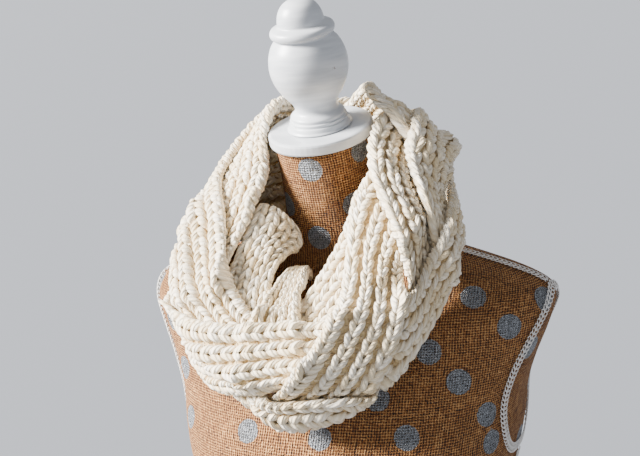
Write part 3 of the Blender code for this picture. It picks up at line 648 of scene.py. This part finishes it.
def lay_weave(cover, rings):
    """Keeps where each corner lies on the flat cloth and how far the nearest dot is, in mm.

    The seam is at the back, and the threads are counted from the middle of the front.
    """
    around = np.cumsum(np.linalg.norm(np.diff(rings, axis=1, prepend=rings[:, :1]), axis=2), axis=1)
    girth = around[:, -1] + np.linalg.norm(rings[:, 0] - rings[:, -1], axis=1)
    rise = np.cumsum(np.linalg.norm(np.diff(rings, axis=0, prepend=rings[:1]), axis=2).mean(axis=1))
    rise = np.broadcast_to(rise[:, None], around.shape)
    front = around[:, COVER_TURNS // 2]
    around, girth = around - front[:, None], girth - front
    flat = rings.reshape(-1, 3)
    distance = np.min(np.linalg.norm(flat[:, None, :] - dot_centres()[None, :, :], axis=2), axis=1)
    weave = np.stack([around, rise, distance.reshape(around.shape)], -1).reshape(-1, 3)
    corners = np.empty(len(cover.data.loops), np.int32)
    cover.data.loops.foreach_get("vertex_index", corners)
    values = weave[corners]
    side_corners = np.arange(4 * (COVER_LEVELS - 1) * COVER_TURNS)
    last_column = side_corners // 4 % COVER_TURNS == COVER_TURNS - 1
    closing = last_column & (corners[side_corners] % COVER_TURNS == 0)
    values[side_corners[closing], 0] = girth[corners[side_corners[closing]] // COVER_TURNS]
    attribute = cover.data.attributes.new("cloth", "FLOAT_VECTOR", "CORNER")
    attribute.data.foreach_set("vector", (values / MM).astype(np.float32).ravel())


def build_cover():
    turns = 180 + np.arange(COVER_TURNS) * 360 / COVER_TURNS
    levels = np.linspace(0, len(TORSO), COVER_LEVELS)
    rings = np.array([torso_point(turns, np.full(COVER_TURNS, level)) for level in levels])
    faces = skin_faces(COVER_LEVELS, COVER_TURNS)[:, ::-1].tolist()
    faces.append(list(range(COVER_TURNS))[::-1])
    faces.append([(COVER_LEVELS - 1) * COVER_TURNS + k for k in range(COVER_TURNS)])
    cover = new_piece("burlap_cover", rings.reshape(-1, 3), faces, burlap())
    cover.data.polygons.foreach_set("use_smooth", [len(face) == 4 for face in faces])
    lay_weave(cover, rings)
    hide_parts("form_torso")
    return cover


# ---------------------------------------------------------------- gimp braid
BRAID_PITCH = 4.8 * MM
BRAID_REACH = 2.5 * MM
BRAID_LOOP = 2.5 * MM
BRAID_CURL = 1.5 * MM
BRAID_LEAN = 1.0 * MM
BRAID_CORD = 0.58 * MM
BRAID_SIDES = 5
BRAID_TURN_STEPS = 12
BRAID_OUT = 1.9 * MM
BRAID_RISE = 0.45 * MM
BRAID_PAST = 4 * MM  # in height, past the ends of the solid trim, under the scarf and up to the armhole


def braid_path(kind):
    """(turn, height) places down one side of the form, and whether the line closes on itself."""
    around = np.radians(np.linspace(0, 360, 241))
    if kind == "shoulder":
        inner, outer = SHOULDER_SEAM[0] + BRAID_PAST, SHOULDER_SEAM[1] - BRAID_PAST
        return np.column_stack([np.full(60, 90.0), np.linspace(inner, outer, 60)]), False
    if kind == "side":
        return np.column_stack([np.full(120, 90.0), np.linspace(*SIDE_SEAM, 120)]), False
    turns, heights = 90 - ARMHOLE_TURN * np.sin(around), ARMHOLE_MIDDLE + ARMHOLE_RISE * np.cos(around)
    return np.column_stack([turns, heights]), True


def braid_frame(path, endless):
    """Evenly spaced points on the cover along a line, with sideways and outward directions."""
    points = torso_point(path[:, 0], torso_level(path[:, 1]))
    run = np.concatenate([[0], np.cumsum(np.linalg.norm(np.diff(points, axis=0), axis=1))])
    waves = max(2, round(run[-1] / BRAID_PITCH))
    place = np.linspace(0, run[-1], waves * BRAID_TURN_STEPS + 1)[:-1 if endless else None]
    turn, height = (np.interp(place, run, path[:, k]) for k in (0, 1))
    level = torso_level(height)
    around = torso_point(turn + 0.5, level) - torso_point(turn - 0.5, level)
    rising = torso_point(turn, level + 0.05) - torso_point(turn, level - 0.05)
    normal = np.cross(around, rising)
    normal /= np.linalg.norm(normal, axis=1, keepdims=True)
    centre = torso_point(turn, level)
    if endless:
        along = np.roll(centre, -1, axis=0) - np.roll(centre, 1, axis=0)
    else:
        along = np.gradient(centre, axis=0)
    along /= np.linalg.norm(along, axis=1, keepdims=True)
    side = np.cross(normal, along)
    return centre, along, side, normal, 2 * math.pi * np.arange(len(place)) / BRAID_TURN_STEPS


def tube_rings(line, radius, endless):
    """Rings of a round cord that follows a line."""
    if endless:
        along = np.roll(line, -1, axis=0) - np.roll(line, 1, axis=0)
    else:
        along = np.gradient(line, axis=0)
    along /= np.linalg.norm(along, axis=1, keepdims=True)
    helper = np.where(np.abs(along[:, 2:]) < 0.9, [[0, 0, 1.0]], [[1.0, 0, 0]])
    first = np.cross(along, helper)
    first /= np.linalg.norm(first, axis=1, keepdims=True)
    second = np.cross(along, first)
    turn = 2 * math.pi * np.arange(BRAID_SIDES) / BRAID_SIDES
    return (line[:, None, :] + radius * (np.cos(turn)[None, :, None] * first[:, None, :]
                                         + np.sin(turn)[None, :, None] * second[:, None, :]))


def build_braid(side_name, sign, kind, material):
    path, endless = braid_path(kind)
    centre, along, side, normal, phase = braid_frame(path, endless)
    cords = [(centre + normal * BRAID_OUT, BRAID_CORD)]
    for edge in (-1, 1):
        reach = BRAID_REACH + BRAID_LOOP * np.cos(phase)
        slip = BRAID_CURL * np.sin(phase) - BRAID_LEAN * np.cos(phase)
        over = BRAID_OUT + BRAID_RISE * np.sin(phase)
        loops = centre + side * (edge * reach)[:, None] + along * slip[:, None] + normal * over[:, None]
        cords.append((loops, BRAID_CORD))
    vertices, faces, base = [], [], 0
    for line, radius in cords:
        rings = tube_rings(line, radius, endless)
        rings[..., 0] *= sign
        quads = skin_faces(len(rings), BRAID_SIDES, endless)
        faces += (base + (quads if sign > 0 else quads[:, ::-1])).tolist()
        if not endless:
            last = base + (len(rings) - 1) * BRAID_SIDES
            first_end = [base + k for k in range(BRAID_SIDES)]
            last_end = [last + k for k in range(BRAID_SIDES)]
            faces += [first_end if sign > 0 else first_end[::-1], last_end[::-1] if sign > 0 else last_end]
        vertices.append(rings.reshape(-1, 3))
        base += rings.shape[0] * BRAID_SIDES
    braid = new_piece(f"{side_name}_{kind}_braid", np.concatenate(vertices), faces, material)
    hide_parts(f"{side_name}_{kind}_trim")


# ---------------------------------------------------------------- turned finial
FINIAL_TURNS = 96
FINIAL_SMOOTHING = 4
POLE_MERGE = 0.05 * MM
# radius, height above the plate, from the foot to the crown (mm)
FINIAL = [
    (30.5, 0.3), (31.0, 3.0), (30.0, 6.5), (28.6, 7.2), (28.8, 10.0), (27.4, 11.0), (27.2, 14.0),
    (24.5, 16.5), (22.0, 19.0), (21.5, 23.0), (24.0, 29.0), (30.5, 38.0), (36.5, 50.0), (39.0, 62.0),
    (38.2, 74.0), (34.5, 85.0), (29.6, 92.0), (28.6, 94.5), (31.2, 96.5), (32.0, 100.0), (30.2, 103.5),
    (25.5, 105.5), (23.2, 107.0), (22.8, 111.0), (21.0, 118.0), (16.5, 125.0), (9.0, 129.6),
    (0.0, 131.0),
]


def build_finial(material):
    """The finial turned again on a finer lathe: its profile spun round the neck's axis."""
    rows = [(index,) + point for index, point in enumerate([(0.0, FINIAL[0][1])] + FINIAL)]
    fine = np.linspace(0, len(rows) - 1, (len(rows) - 1) * FINIAL_SMOOTHING + 1)
    profile = through(rows, fine) * MM
    profile[:, 0] = np.clip(profile[:, 0], 0, None)
    mesh = bpy.data.meshes.new("turned_finial")
    edges = [(k, k + 1) for k in range(len(profile) - 1)]
    mesh.from_pydata([(radius, 0.0, height) for radius, height in profile], edges, [])
    finial = bpy.data.objects.new("turned_finial", mesh)
    bpy.context.scene.collection.objects.link(finial)
    bpy.ops.object.select_all(action="DESELECT")
    bpy.context.view_layer.objects.active = finial
    finial.select_set(True)
    bpy.ops.object.mode_set(mode="EDIT")
    bpy.ops.mesh.select_all(action="SELECT")
    bpy.ops.mesh.spin(steps=FINIAL_TURNS, angle=2 * math.pi, center=(0, 0, 0), axis=(0, 0, 1))
    bpy.ops.mesh.select_all(action="SELECT")
    bpy.ops.mesh.remove_doubles(threshold=POLE_MERGE)
    bpy.ops.mesh.normals_make_consistent(inside=False)
    bpy.ops.object.mode_set(mode="OBJECT")
    finial.rotation_euler = (NECK_TILT, 0, 0)
    finial.location = PLATE_TOP
    bpy.ops.object.transform_apply(location=True, rotation=True, scale=True)
    bpy.ops.object.shade_smooth()
    mesh.materials.append(material)
    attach(finial, "root")
    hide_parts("finial")


# ---------------------------------------------------------------- materials
PLIES = 3
PLY_TWIST = 0.17  # turns for each mm of yarn
# sizes in mm, each a length over how many fit in it
FIBRE_WIDTH = 10 / 9
TONE_WIDTH = 1000 / 22
LINT_WIDTH = 100 / 42
COTTON_WIDTH = 10 / 7
STREAK_WIDTH = 1000 / 26
CHIP_WIDTH = 100 / 21
WORN_WIDTH = 100 / 3
# burlap, in mm: threads spaced wider than most burlap's, so that the weave shows
WEFT_SPACING = 2.6
WARP_SPACING = 2.7
THREAD_WANDER = 1.6
WANDER_LENGTH = 100 / 9
SLUB_LENGTH, SLUB_WIDTH = 100 / 3, 25 / 9
FUZZ_WIDTH = 10 / 7
PATCH_WIDTH = 100 / 6
FLAKE_WIDTH = 5 / 8


def grain(width):
    """Noise scale for lumps about this wide, in mm, on object coordinates in metres."""
    return 1 / (width * MM)


def linear(hex_colour):
    """Shader colour of an sRGB hex colour."""
    parts = [int(hex_colour[k:k + 2], 16) / 255 for k in (0, 2, 4)]
    return (*[c / 12.92 if c <= 0.04045 else ((c + 0.055) / 1.055) ** 2.4 for c in parts], 1.0)


def node(tree, kind, inputs=None, **settings):
    """Adds one node: settings are its properties, inputs maps a socket to a value or to another socket."""
    made = tree.nodes.new("ShaderNode" + kind)
    for key, value in settings.items():
        setattr(made, key, value)
    for key, value in (inputs or {}).items():
        if isinstance(value, bpy.types.NodeSocket):
            tree.links.new(value, made.inputs[key])
        else:
            made.inputs[key].default_value = value
    return made


def principled(name, roughness, **constants):
    material = bpy.data.materials.new(name)
    material.use_nodes = True
    shader = material.node_tree.nodes["Principled BSDF"]
    shader.inputs["Roughness"].default_value = roughness
    for key, value in constants.items():
        shader.inputs[key.replace("_", " ")].default_value = value
    return material, material.node_tree, shader


def ramp(tree, factor, stops):
    """A colour ramp through (position, hex colour) stops."""
    made = node(tree, "ValToRGB", {"Fac": factor})
    elements = made.color_ramp.elements
    while len(elements) < len(stops):
        elements.new(0.5)
    for element, (position, colour) in zip(elements, stops):
        element.position = position
        element.color = linear(colour)
    return made.outputs["Color"]


def mixed(tree, factor, first, second):
    made = node(tree, "Mix", data_type="RGBA")
    for key, value in ((0, factor), (6, first), (7, second)):
        if isinstance(value, bpy.types.NodeSocket):
            tree.links.new(value, made.inputs[key])
        else:
            made.inputs[key].default_value = value
    return made.outputs[2]


def maths(tree, operation, first, second=0.5):
    return node(tree, "Math", {0: first, 1: second}, operation=operation).outputs[0]


def wool_yarn():
    """Undyed roving wool: matt cream plies that twist round the yarn, fine fibres, softly uneven in tone,
    with painted shade between the plies and on the yarn in the grooves, and lighter fibre specks as painted
    highlights.
    """
    material, tree, shader = principled("wool_yarn", 0.92, Sheen_Weight=0.35, Sheen_Roughness=0.5)
    yarn = node(tree, "Attribute", attribute_name="yarn").outputs["Vector"]
    parts = node(tree, "SeparateXYZ", {0: yarn})
    along, around, own = parts.outputs
    twisted, plied = maths(tree, "MULTIPLY", along, PLY_TWIST), maths(tree, "MULTIPLY", around, PLIES)
    ply = maths(tree, "SINE", maths(tree, "MULTIPLY", maths(tree, "ADD", twisted, plied), 2 * math.pi))
    here = node(tree, "TexCoord").outputs["Object"]
    fibre = node(tree, "TexNoise", {"Vector": here, "Scale": grain(FIBRE_WIDTH), "Detail": 3.0,
                                    "Roughness": 0.65}).outputs["Fac"]
    patch = node(tree, "TexNoise", {"Vector": here, "Scale": grain(TONE_WIDTH), "Detail": 2.0}).outputs["Fac"]
    # own is each leg's random tone; on the groove yarn it is lowered as painted shade
    tone = maths(tree, "ADD", maths(tree, "MULTIPLY", own, 0.55), maths(tree, "MULTIPLY", patch, 0.45))
    tone = maths(tree, "ADD", maths(tree, "MULTIPLY", tone, 0.6), 0.4)
    # the dark warm low stops are reached mostly by the groove yarn: painted shade between the ribs
    colour = ramp(tree, tone, [(0.12, "9c763f"), (0.45, "e6cd9f"), (0.68, "f6e7cb"), (0.92, "fff7e8")])
    # painted shade: the yarn is darker in the crevices between its twisted plies
    groove = maths(tree, "MULTIPLY", maths(tree, "SUBTRACT", 1.0, ply), 0.22)
    colour = mixed(tree, groove, colour, linear("d2b98c"))
    # painted highlight: light specks where the fibre relief stands highest, as loose fibres catching the
    # light
    speck = maths(tree, "GREATER_THAN", fibre, 0.66)
    colour = mixed(tree, maths(tree, "MULTIPLY", speck, 0.25), colour, linear("fffaf0"))
    tree.links.new(colour, shader.inputs["Base Color"])
    relief = maths(tree, "ADD", maths(tree, "MULTIPLY", ply, 0.6), maths(tree, "MULTIPLY", fibre, 0.8))
    bump = node(tree, "Bump", {"Height": relief, "Strength": 0.9, "Distance": 0.8 * MM})
    tree.links.new(bump.outputs["Normal"], shader.inputs["Normal"])
    return material


def wool_backing():
    """The same wool deep between the stitches, warmer and darker for want of light."""
    material, tree, shader = principled("wool_between_stitches", 1.0)
    here = node(tree, "TexCoord").outputs["Object"]
    fibre = node(tree, "TexNoise", {"Vector": here, "Scale": grain(LINT_WIDTH), "Detail": 3.0}).outputs["Fac"]
    tree.links.new(ramp(tree, fibre, [(0.3, "b09366"), (0.7, "d6bf93")]), shader.inputs["Base Color"])
    bump = node(tree, "Bump", {"Height": fibre, "Strength": 0.6, "Distance": 1.0 * MM})
    tree.links.new(bump.outputs["Normal"], shader.inputs["Normal"])
    return material


def burlap():
    """Coarse jute weave, golden brown with dark gaps of painted shade between the threads, printed with round
    dots of silver glitter, whose flakes carry painted glints and darken as painted shade towards the weave's
    hollows.
    """
    material, tree, shader = principled("burlap", 0.9)
    cloth = node(tree, "Attribute", attribute_name="cloth").outputs["Vector"]
    wander = node(tree, "TexNoise", {"Vector": cloth, "Scale": 1 / WANDER_LENGTH, "Detail": 2.0})
    aside = node(tree, "VectorMath", {0: wander.outputs["Color"], "Scale": THREAD_WANDER}, operation="SCALE")
    bent = node(tree, "VectorMath", {0: cloth, 1: aside.outputs[0]}, operation="ADD").outputs[0]
    parts = node(tree, "SeparateXYZ", {0: bent})
    exact = node(tree, "SeparateXYZ", {0: cloth})
    weft = maths(tree, "SINE", maths(tree, "MULTIPLY", parts.outputs[1], 2 * math.pi / WEFT_SPACING))
    warp = maths(tree, "SINE", maths(tree, "MULTIPLY", parts.outputs[0], 2 * math.pi / WARP_SPACING))
    product = maths(tree, "MULTIPLY", weft, warp)
    both = maths(tree, "MAXIMUM", weft, warp)
    weave = maths(tree, "ADD", maths(tree, "MULTIPLY", both, 0.7), maths(tree, "MULTIPLY", product, 0.3))
    uneven = node(tree, "TexNoise", {"Vector": cloth, "Scale": 1 / FUZZ_WIDTH, "Detail": 3.0}).outputs["Fac"]
    patch = node(tree, "TexNoise", {"Vector": cloth, "Scale": 1 / PATCH_WIDTH, "Detail": 2.0}).outputs["Fac"]
    for stretch in ((1 / SLUB_LENGTH, 1 / SLUB_WIDTH, 1.0), (1 / SLUB_WIDTH, 1 / SLUB_LENGTH, 1.0)):
        drawn = node(tree, "Mapping", {"Vector": cloth, "Scale": stretch}).outputs["Vector"]
        thread = node(tree, "TexNoise", {"Vector": drawn, "Scale": 1.0, "Detail": 1.0}).outputs["Fac"]
        weave = maths(tree, "ADD", weave, maths(tree, "MULTIPLY", maths(tree, "SUBTRACT", thread, 0.5), 1.6))
    patchy = maths(tree, "ADD", maths(tree, "MULTIPLY", uneven, 0.4), maths(tree, "MULTIPLY", patch, 0.3))
    level = maths(tree, "ADD", maths(tree, "MULTIPLY", weave, 0.6), patchy)
    # the ramp's near-black low end is painted shade in the gaps between threads; slubs and patches give the
    # threads their own uneven tone
    colour = ramp(tree, level, [(0.0, "100703"), (0.28, "502c10"), (0.6, "925b28"), (1.0, "d2a066")])
    ragged = maths(tree, "ADD", exact.outputs[2], maths(tree, "MULTIPLY", uneven, DOT_RAGGED))
    inside = maths(tree, "LESS_THAN", ragged, DOT_RADIUS / MM + DOT_RAGGED / 2)
    covered_thread = maths(tree, "GREATER_THAN", level, 0.12)
    printed = maths(tree, "MULTIPLY", inside, covered_thread)
    # painted glints: each glitter flake is given its own brightness in the colour, from dark grey to bright
    # silver
    glitter = node(tree, "TexVoronoi", {"Vector": cloth, "Scale": 1 / FLAKE_WIDTH}).outputs["Color"]
    spark = node(tree, "SeparateXYZ", {0: glitter}).outputs[0]
    silver = ramp(tree, spark, [(0.1, "55585c"), (0.6, "7d8085"), (0.95, "c0c3c8")])
    # painted shade: the silver print darkens towards dark brown where the weave lies lower
    silver = mixed(tree, ramp(tree, level, [(0.1, "d0d0d0"), (0.6, "000000")]), silver, linear("4d4943"))
    colour = mixed(tree, printed, colour, silver)
    tree.links.new(colour, shader.inputs["Base Color"])
    tree.links.new(maths(tree, "MULTIPLY", printed, 0.35), shader.inputs["Metallic"])
    rough = maths(tree, "SUBTRACT", 0.92, maths(tree, "MULTIPLY", printed, 0.45))
    tree.links.new(rough, shader.inputs["Roughness"])
    bump = node(tree, "Bump", {"Height": weave, "Strength": 1.0, "Distance": 1.2 * MM})
    tree.links.new(bump.outputs["Normal"], shader.inputs["Normal"])
    return material


def gimp_cotton():
    """Off-white twisted cotton cord, matt, with painted shade that makes it greyer in its grooves."""
    material, tree, shader = principled("gimp_cotton", 0.85, Sheen_Weight=0.2)
    here = node(tree, "TexCoord").outputs["Object"]
    thread = node(tree, "TexNoise", {"Vector": here, "Scale": grain(COTTON_WIDTH),
                                     "Detail": 2.0}).outputs["Fac"]
    tree.links.new(ramp(tree, thread, [(0.3, "d8d3cc"), (0.7, "f3f0ec")]), shader.inputs["Base Color"])
    bump = node(tree, "Bump", {"Height": thread, "Strength": 0.5, "Distance": 0.4 * MM})
    tree.links.new(bump.outputs["Normal"], shader.inputs["Normal"])
    return material


def painted_wood():
    """White brushed paint over wood: satin, faintly streaked, chipped through to brown here and there."""
    material, tree, shader = principled("painted_wood", 0.38, Coat_Weight=0.15, Coat_Roughness=0.3)
    here = node(tree, "TexCoord").outputs["Object"]
    squash = node(tree, "Mapping", {"Vector": here, "Scale": (1.0, 1.0, 9.0)}).outputs["Vector"]
    streak = node(tree, "TexNoise", {"Vector": squash, "Scale": grain(STREAK_WIDTH),
                                     "Detail": 3.0}).outputs["Fac"]
    chips = node(tree, "TexNoise", {"Vector": here, "Scale": grain(CHIP_WIDTH), "Detail": 4.0,
                                    "Roughness": 0.7}).outputs["Fac"]
    where = node(tree, "TexNoise", {"Vector": here, "Scale": grain(WORN_WIDTH), "Detail": 1.0}).outputs["Fac"]
    chipped, patch = maths(tree, "GREATER_THAN", chips, 0.69), maths(tree, "GREATER_THAN", where, 0.56)
    worn = maths(tree, "MULTIPLY", chipped, patch)
    colour = ramp(tree, streak, [(0.3, "b6b9bd"), (0.7, "cbcdd0")])
    colour = mixed(tree, worn, colour, linear("6f5f52"))
    tree.links.new(colour, shader.inputs["Base Color"])
    height = maths(tree, "SUBTRACT", maths(tree, "MULTIPLY", streak, 0.4), worn)
    bump = node(tree, "Bump", {"Height": height, "Strength": 0.25, "Distance": 0.6 * MM})
    tree.links.new(bump.outputs["Normal"], shader.inputs["Normal"])
    return material


# ---------------------------------------------------------------- stage
WINDOW_FROM = (-4.8, -2.5, 3.1)
WINDOW_STRENGTH = 29.0
WINDOW_WIDTH = math.radians(24)


def camera_axes():
    a, e, r = (math.radians(value) for value in (AZIMUTH, ELEVATION, ROLL))
    back = Vector((math.sin(a) * math.cos(e), -math.cos(a) * math.cos(e), math.sin(e)))
    right = Vector((math.cos(a), math.sin(a), 0))
    up = back.cross(right)
    leaned = right * math.cos(r) + up * math.sin(r)
    return leaned, back.cross(leaned), back


def place_camera():
    right, up, back = camera_axes()
    camera = bpy.data.cameras.new("camera")
    camera.sensor_width = 36
    camera.lens = FOCAL_PIXELS * camera.sensor_width / IMAGE_WIDTH
    camera.clip_start = 0.05
    across = (PLATE_PIXEL[0] - IMAGE_WIDTH / 2) / FOCAL_PIXELS
    above = (IMAGE_HEIGHT / 2 - PLATE_PIXEL[1]) / FOCAL_PIXELS
    ray = (-back + right * across + up * above).normalized()
    pose = Matrix((right, up, back)).transposed().to_4x4()
    pose.translation = Vector(PLATE_TOP) - ray * CAMERA_DISTANCE
    holder = bpy.data.objects.new("camera", camera)
    holder.matrix_world = pose
    bpy.context.scene.collection.objects.link(holder)
    bpy.context.scene.camera = holder


def place_window():
    """Soft daylight from the left, as wide as a tall window near by."""
    light = bpy.data.lights.new("window", "SUN")
    light.energy = WINDOW_STRENGTH
    light.angle = WINDOW_WIDTH
    light.color = linear("fffdfa")[:3]
    holder = bpy.data.objects.new("window", light)
    holder.rotation_euler = Vector(WINDOW_FROM).to_track_quat("Z", "Y").to_euler()
    bpy.context.scene.collection.objects.link(holder)


def build_stage():
    bpy.ops.mesh.primitive_plane_add(size=120)
    floor = bpy.context.object
    floor.name = "floor"
    material, _, shader = principled("pale_floor", 0.9)
    shader.inputs["Base Color"].default_value = linear("6a6d73")
    floor.data.materials.append(material)
    world = bpy.data.worlds.new("studio")
    world.use_nodes = True
    world.node_tree.nodes["Background"].inputs["Color"].default_value = linear("e3e7ee")
    world.node_tree.nodes["Background"].inputs["Strength"].default_value = 0.62
    bpy.context.scene.world = world
    place_window()


place_camera()
build_scarf()
build_cover()
BRAID = gimp_cotton()
for side_name, sign in (("left", 1), ("right", -1)):
    for kind in ("shoulder", "armhole", "side"):
        build_braid(side_name, sign, kind, BRAID)
PAINT = painted_wood()
build_finial(PAINT)
for wooden in ("base_board", "neck_plate"):
    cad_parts[wooden].data.materials.clear()
    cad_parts[wooden].data.materials.append(PAINT)
build_stage()
